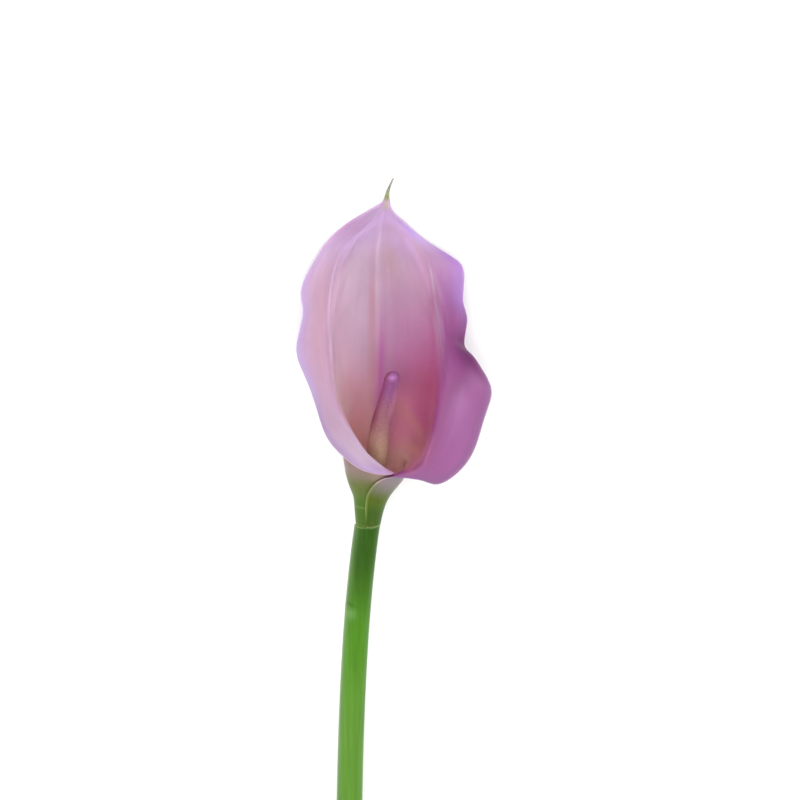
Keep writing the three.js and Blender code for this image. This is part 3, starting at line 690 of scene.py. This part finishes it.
def tip_tint(tint, k, p):
    """The upper limb: light lilac up to the tip, with a bright violet patch of painted sheen on its right
    shoulder, cream green below the awn, faint tan and pink streaks, and a mauve streak of painted shade
    beside the right rib."""
    tint = tinted(tint, TIP_LILAC, smooth(k, 6.6, 8.2) * fall(p, 0.35, 0.5))
    tint = tinted(tint, TIP_LILAC, smooth(k, 7.7, 8.5))
    # Painted sheen: a bright violet patch on the right shoulder.
    tint = tinted(tint, BRIGHT_VIOLET_SHEEN, bell(k, 8.45, 0.3) * bell(p, 0.75, 0.22))
    tint = tinted(tint, CREAM_GREEN, 0.8 * smooth(k, 8.85, 9.1) * bell(p, 0.1, 0.45))
    tint = tinted(tint, TAN, 0.3 * bell(k, 6.8, 0.8) * bell(p, 0.08, 0.05))
    tint = tinted(tint, DUSKY_PINK, 0.4 * bell(k, 8.05, 0.25) * bell(p, 0.15, 0.2))
    # Painted shade: a mauve streak beside the right rib.
    return tinted(tint, MAUVE, 0.25 * bell(k, 6.9, 0.4) * bell(p, 0.4, 0.05))


def left_brim_tint(tint, k, p):
    """The left brim: silvery lilac low down, greyed lilac and dusky pink above it and pink violet near the
    tip, with a blue lilac margin that carries painted sheen. Over the funnel the lip is darkened with painted
    shade, most at its very edge, and a violet spot of painted sheen lies beside it. Painted shade also runs
    along the edge further up."""
    brim = fall(p, -0.72, -0.5)
    tint = tinted(tint, GREY_LILAC, brim * fall(k, 6.5, 8))
    tint = tinted(tint, DUSKY_PINK, bell(p, -0.76, 0.09) * bell(k, 6.2, 1.2))
    tint = tinted(tint, SILVER_LILAC, brim * fall(k, 3, 4.6))
    tint = tinted(tint, PINK_VIOLET, brim * smooth(k, 7.7, 8.4) * (1 - 0.7 * smooth(k, 8.4, 8.9)))
    # Painted sheen: a blue lilac band along the margin.
    tint = tinted(tint, BLUE_LILAC_SHEEN, fall(p, -1, -0.88) * fall(k, 7, 8))
    # Painted shade over the lip where it turns out over the funnel.
    tint = tinted(tint, LIP_SHADE, 0.35 * smooth(-p, 0.6, 0.9) * bell(k, 2.35, 0.22))
    # Painted sheen: a violet spot beside the lip's edge.
    tint = tinted(tint, VIOLET_SHEEN, 0.45 * bell(p, -0.91, 0.06) * bell(k, 2.7, 0.3))
    # Painted shade along the lip's very edge, and more faintly along the edge further up.
    tint = tinted(tint, LIP_SHADE, smooth(-p, 0.97, 1) * band(k, 1.8, 2.2, 2.8, 3.8))
    return tinted(tint, LIP_SHADE, 0.3 * smooth(-p, 0.92, 0.98) * band(k, 2.8, 3.6, 4.5, 5.2))


def rib_tint(tint, k, p):
    """Both side ribs are pale with painted shade beside them, and a third band of painted shade runs just
    inside the left rim. The midrib is a brown pink, a pale and a purple line side by side."""
    left_rib, right_rib = rib_places(k)
    rise = rib_rise(k)
    tint = tinted(tint, PALE_RIB, 0.8 * bell(p, left_rib, 0.025) * rise)
    # Painted shade beside the right rib.
    tint = tinted(tint, tint * 0.72, bell(p, right_rib, 0.045) * rise * fall(k, 6.2, 7.4))
    tint = tinted(tint, PALE_RIB, (0.25 + 0.4 * smooth(k, 6.4, 7.2)) * bell(p, right_rib, 0.022) * rise)
    # Painted shade beside the left rib and just inside the left rim.
    tint = tinted(tint, tint * 0.92, bell(p, left_rib + 0.07, 0.05) * rise)
    tint = tinted(tint, tint * 0.84, bell(p, -0.6, 0.05) * band(k, 3, 3.6, 5.6, 6.4))
    tint = tinted(tint, BROWN_PINK, 0.7 * bell(p, -0.022, 0.02) * band(k, 3, 4, 5.6, 7))
    tint = tinted(tint, PALE_LILAC, 0.5 * bell(p, 0.005, 0.015) * band(k, 4, 5, 7.5, 8.5))
    return tinted(tint, PURPLE, (0.05 + 0.8 * fall(k, 4.2, 6)) * bell(p, 0.02, 0.022))


def outer_tint(k, p):
    """The back: green at the base, through moss to a mauve brown on the inner layer, and through olive to a
    greyed mauve on the layer wrapped over it, then lilac, with magenta behind the right brim. The wrapped
    margin carries a pale painted highlight, the left one is darkened with painted shade at the lip, and both
    are blue lilac with painted sheen further up. Pale tan painted light lifts the shade in the crevice
    between the wrapped margin and the layer under it. A mossy midrib runs up it. A pale ring of painted light
    runs round its foot and lifts the shade in the seam on the stem, and a pale scar lies above that on the
    inner layer."""
    tint = np.broadcast_to(LEAF_GREEN, np.broadcast(k, p).shape + (3,))
    tint = tinted(tint, MOSS, smooth(k, 0.9, 1.6))
    tint = tinted(tint, MAUVE_BROWN, smooth(k, 1.5, 2.15))
    flap = smooth(p, 0.2, 0.3)
    tint = tinted(tint, DEEP_GREEN, flap * fall(k, 0.6, 1.2))
    tint = tinted(tint, OLIVE, flap * smooth(k, 0.6, 1.2))
    tint = tinted(tint, GREYED_MAUVE, flap * smooth(k - 0.3 * p, 0.87, 1.6))
    # Painted highlight along the wrapped margin's edge.
    tint = tinted(tint, PALE_OLIVE_SCAR_AND_LIGHT, 0.8 * smooth(p, 0.9, 1) * band(k, 0.1, 0.8, 1.6, 2))
    tint = tinted(tint, LILAC, smooth(k, 2.4, 4.6))
    tint = tinted(tint, MAGENTA, 0.7 * smooth(p, 0.5, 0.8) * band(k, 2.2, 3, 5.5, 8))
    # Painted shade under the left lip.
    tint = tinted(tint, LIP_SHADE, smooth(-p, 0.6, 0.9) * band(k, 1.8, 2.2, 2.7, 3.6))
    # Painted light that lifts the shade in the crevice between the wrapped margin and the layer under it.
    tint = tinted(tint, PALE_TAN_AND_CREVICE_LIGHT, 0.2 * bell(p, -0.52, 0.1) * bell(k, 1.88, 0.12))
    tint = tinted(tint, PALE_TAN_AND_CREVICE_LIGHT, 0.6 * smooth(p, 0.88, 0.98) * band(k, 1.5, 1.8, 2.1, 2.3))
    # Blue lilac along both margins, with painted sheen.
    tint = tinted(tint, BLUE_LILAC_SHEEN, 0.6 * smooth(np.abs(p), 0.8, 1) * smooth(k, 3, 4))
    tint = tinted(tint, MOSS, 0.45 * bell(p, 0, 0.1) * fall(k, 5, 8.5))
    # A pale ring of painted light round the foot lifts the shade in the seam on the stem.
    tint = tinted(tint, PALE_OLIVE_SCAR_AND_LIGHT, 0.8 * fall(k, 0.02, 0.08))
    return tinted(tint, PALE_OLIVE_SCAR_AND_LIGHT, 0.5 * bell(k, 0.77, 0.03) * fall(p, 0, 0.4))


def awn_tint(tint, k):
    """Green at the foot of the awn, and a greyed green from there to its tip, on both faces."""
    tint = tinted(tint, AWN_GREEN, smooth(k, 9.15, 9.45))
    return tinted(tint, AWN_GREY, smooth(k, 9.5, 9.75))


stations = np.concatenate(
    [np.linspace(start, end, count, endpoint=False) for start, end, count in SPATHE_ROWS] + [[LAST_STATION]],
)
spacing = np.linspace(-1, 1, SPATHE_COLUMNS + 1)
places = spacing * (1 + MARGIN_CROWDING * (1 - spacing ** 2))
sheet = spathe_sheet(stations, places)
offset = sheet_normals(sheet, stations) * sheet_thickness(places, stations)[..., None] / 2
rings = np.concatenate([(sheet - offset)[:, :-1], (sheet + offset)[:, :0:-1]], axis=1)
k = stations[:, None]
p = places[None, :]
inner_tint = wall_tint(k, p)
for layer_tint in (right_brim_tint, tip_tint, left_brim_tint, rib_tint):
    inner_tint = layer_tint(inner_tint, k, p)
tint = np.concatenate([outer_tint(k, p)[:, :-1], inner_tint[:, :0:-1]], axis=1)
ring_places = np.concatenate([places[:-1], places[:0:-1]])
across, along = np.broadcast_arrays(ring_places[None, :], k)
spathe = ring_piece("spathe_sheet", rings, None, awn_tint(tint, along), across, along / LAST_STATION)

petal = Finish("petal", roughness=0.42, shine=0.15)
veins = petal.noise("UV", stretch=(34, 2.6, 1))
clouding = petal.noise("UV", stretch=(7, 13, 1), detail=5)
veined = petal.shaded(petal.tint(), veins, 0.3, 0.7, 0.98, 1.02)
petal.paint(petal.shaded(veined, clouding, 0.3, 0.7, 0.95, 1.05))
petal.flesh(weight=0.8, radius=(1.0, 0.7, 0.85), scale=0.003)
petal.bump(veins, distance=0.0002, strength=0.5)
spathe.data.materials.append(petal.material)
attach(spathe, "root")
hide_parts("spathe")


# The spadix: a firm finger that stands on the stem's top inside the funnel and leans to the right. It is
# covered all over with tiny florets, and is tan below and purple towards its round tip.

SPADIX_LINE = [                  # length along it, x, y, z, radius
    (0, 0, 0.3, 0, 1.9), (5, 0.6, 5.3, 0.2, 2.05), (11, 1.6, 11.2, 0.4, 2.5), (20, 2.8, 20.1, 0.8, 3.1),
    (28, 3.5, 28, 1.2, 3.3), (35, 4.5, 35, 1.6, 3.15), (42, 6.2, 41.8, 1.9, 2.85), (48, 7.55, 47.5, 2.1, 2.6),
    (52.7, 8.25, 52.1, 2.2, 2.4),
]
SPADIX_LENGTH = SPADIX_LINE[-1][0]
SPADIX_TIP = 2.9                 # length of its rounded tip
TIP_ROWS = 29
FLORETS_AROUND = 15
FLORET_ROWS = 84
FLORET_HEIGHT = 0.08
FLORET_MIDDLE = 0.6              # the share of that height which lies level with the plain surface
POINTS_PER_FLORET = 5


def spadix_rings():
    """Rings level with the flower's base round SPADIX_LINE, closer together towards the tip's end. There the
    radius is multiplied by the round sqrt(1 - (1 - left / SPADIX_TIP)^2), with left the length that is left.
    The florets stand out by FLORET_HEIGHT * sqrt(|cos(FLORETS_AROUND * angle) * cos(FLORET_ROWS * pi *
    length / SPADIX_LENGTH)|)."""
    body = np.linspace(0, SPADIX_LENGTH - SPADIX_TIP, FLORET_ROWS * POINTS_PER_FLORET)
    quarter = np.linspace(0, np.pi / 2, TIP_ROWS + 1)
    tip = SPADIX_LENGTH - SPADIX_TIP * (1 - np.sin(quarter))
    length = np.concatenate([body[:-1], tip[:-1]])[:, None]
    line = spline(SPADIX_LINE, length[:, 0])
    angles = np.linspace(-np.pi, np.pi, 2 * FLORETS_AROUND * POINTS_PER_FLORET, endpoint=False)[None, :]
    rounding = np.sqrt(1 - np.maximum(1 - (SPADIX_LENGTH - length) / SPADIX_TIP, 0) ** 2)
    pattern = np.cos(FLORETS_AROUND * angles) * np.cos(np.pi * FLORET_ROWS * length / SPADIX_LENGTH)
    florets = np.sqrt(np.abs(pattern))
    radius = rounding * (line[:, 3:4] + FLORET_HEIGHT * (florets - FLORET_MIDDLE))
    x = line[:, 0:1] + radius * np.sin(angles)
    y = np.broadcast_to(line[:, 1:2], x.shape)
    z = line[:, 2:3] + radius * np.cos(angles)
    length = np.broadcast_to(length, x.shape)
    return np.stack([x, y, z], -1), length, np.broadcast_to(angles, x.shape), florets


POLLEN_TAN = srgb(180, 143, 121)
DUSKY_ROSE = srgb(146, 91, 104)
RIPE_PURPLE = srgb(133, 71, 121)
# Painted shade and light on the spadix's sides, and painted highlights near its tip:
WINE_SIDE_SHADE = srgb(136, 50, 84)
PEACH_SIDE_LIGHT = srgb(218, 160, 150)
PINK_SIDE_HIGHLIGHT = srgb(196, 128, 158)
TIP_HIGHLIGHT = srgb(190, 132, 196)


def spadix_tint(length, angles, florets):
    """Tan below, dusky rose further up and purple at the tip. The left side is painted light in peach below,
    where it nears the wall, and painted shade in wine red above, and the right side has a pink painted
    highlight near the tip. The florets' crowns are paler, and a painted highlight lies on the very tip."""
    tint = np.broadcast_to(POLLEN_TAN, length.shape + (3,))
    tint = tinted(tint, DUSKY_ROSE, smooth(length, 24, 38))
    tint = tinted(tint, RIPE_PURPLE, smooth(length, 37, 48))
    # Painted shade on the left side above, and painted light on it below, where it nears the wall.
    tint = tinted(tint, WINE_SIDE_SHADE, 0.65 * smooth(-angles, 0.3, 1.2) * smooth(length, 26, 38))
    tint = tinted(tint, PEACH_SIDE_LIGHT, 0.8 * smooth(-angles, 0.3, 1.1) * fall(length, 26, 36))
    # Painted highlights: pink on the right side near the tip, and pale on the very tip.
    tint = tinted(tint, PINK_SIDE_HIGHLIGHT, 0.8 * smooth(angles, 0.2, 1.1) * bell(length, 42, 7))
    tint = tinted(tint, TIP_HIGHLIGHT, 0.6 * bell(length, 51.1, 0.8) * bell(angles, 0, 0.6))
    return tinted(tint * 0.93, tint * 1.05, smooth(florets, 0.3, 0.9))


rings, lengths, angles, florets = spadix_rings()
spadix_ends = spline(SPADIX_LINE, np.array([0, SPADIX_LENGTH]))[:, :3]
spadix = ring_piece(
    "spadix_finger", rings, spadix_ends, spadix_tint(lengths, angles, florets),
    angles / np.pi, lengths / SPADIX_LENGTH,
)

pollen = Finish("floret skin", roughness=0.5, shine=0.2)
grain = pollen.noise("Object", stretch=(1500, 1500, 1500))
pollen.paint(pollen.shaded(pollen.tint(), grain, 0.3, 0.7, 0.88, 1.12))
pollen.flesh(weight=0.3, radius=(1.0, 0.6, 0.4), scale=0.001)
pollen.bump(grain, distance=0.0001, strength=0.4)
spadix.data.materials.append(pollen.material)
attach(spadix, "root")
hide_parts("spadix")


# The floor: a plain, matt, near-white sheet of paper that the flower lies on.

FLOOR_SIZE = 6                   # in metres
PAPER_WHITE = (0.96, 0.96, 0.965, 1)

bpy.ops.mesh.primitive_plane_add(size=FLOOR_SIZE)
floor = bpy.context.object
floor.name = "floor"
paper = Finish("floor paper", roughness=0.9, shine=0.1)
paper.shader.inputs["Base Color"].default_value = PAPER_WHITE
floor.data.materials.append(paper.material)


# The light: an even white room, and one large soft lamp beyond the flower's tip on the left. Together they
# are strong enough to bleach the floor to plain white.

LAMP_PLACE = (-0.25, 0.2, 1.4)   # in metres
LAMP_SIZE = 1.2
LAMP_POWER = 6 * LIGHT_GAIN      # in watts
ROOM_LIGHT = 1.1 * LIGHT_GAIN

world = bpy.data.worlds.new("room")
world.use_nodes = True
world.node_tree.nodes["Background"].inputs["Color"].default_value = (1, 1, 1, 1)
world.node_tree.nodes["Background"].inputs["Strength"].default_value = ROOM_LIGHT
bpy.context.scene.world = world
lamp_data = bpy.data.lights.new("soft lamp", "AREA")
lamp_data.size = LAMP_SIZE
lamp_data.energy = LAMP_POWER
lamp = bpy.data.objects.new("soft lamp", lamp_data)
bpy.context.scene.collection.objects.link(lamp)


def look_along(place, back, up):
    """The matrix of a camera or lamp at place that looks against back, with up in its upright plane."""
    back = np.array(back, float) / np.linalg.norm(back)
    side = np.cross(up, back)
    side /= np.linalg.norm(side)
    matrix = np.eye(4)
    matrix[:3, 0] = side
    matrix[:3, 1] = np.cross(back, side)
    matrix[:3, 2] = back
    matrix[:3, 3] = place
    return matrix.T.tolist()


lamp.matrix_world = look_along(LAMP_PLACE, LAMP_PLACE, (0, 0, 1))
bpy.context.scene.view_settings.view_transform = "Standard"


# The camera looks down on the open face from a little beyond the flower's tip, as the photograph does.

VIEW_TILT = math.radians(18)     # from square to the flower, towards its tip
VIEW_CENTRE = (10.4, 39.7)       # what lies in the picture's middle: to the right of and above the base
VIEW_WIDTH = 256                 # millimetres across the picture at the flower
VIEW_DISTANCE = 1600
SENSOR_WIDTH = 36
FARTHEST_SEEN = 20               # in metres

back = turn_to_rest(np.array([0, math.sin(VIEW_TILT), math.cos(VIEW_TILT)]))
up = turn_to_rest(np.array([0, math.cos(VIEW_TILT), -math.sin(VIEW_TILT)]))
right = turn_to_rest(np.array([1, 0, 0]))
target = BASE_PLACE + VIEW_CENTRE[0] * right + VIEW_CENTRE[1] * up
camera_data = bpy.data.cameras.new("camera")
camera_data.sensor_width = SENSOR_WIDTH
camera_data.lens = SENSOR_WIDTH * VIEW_DISTANCE / VIEW_WIDTH
camera_data.clip_end = FARTHEST_SEEN
camera = bpy.data.objects.new("camera", camera_data)
bpy.context.scene.collection.objects.link(camera)
camera.matrix_world = look_along((target + VIEW_DISTANCE * back) / 1000, back, up)
bpy.context.scene.camera = camera
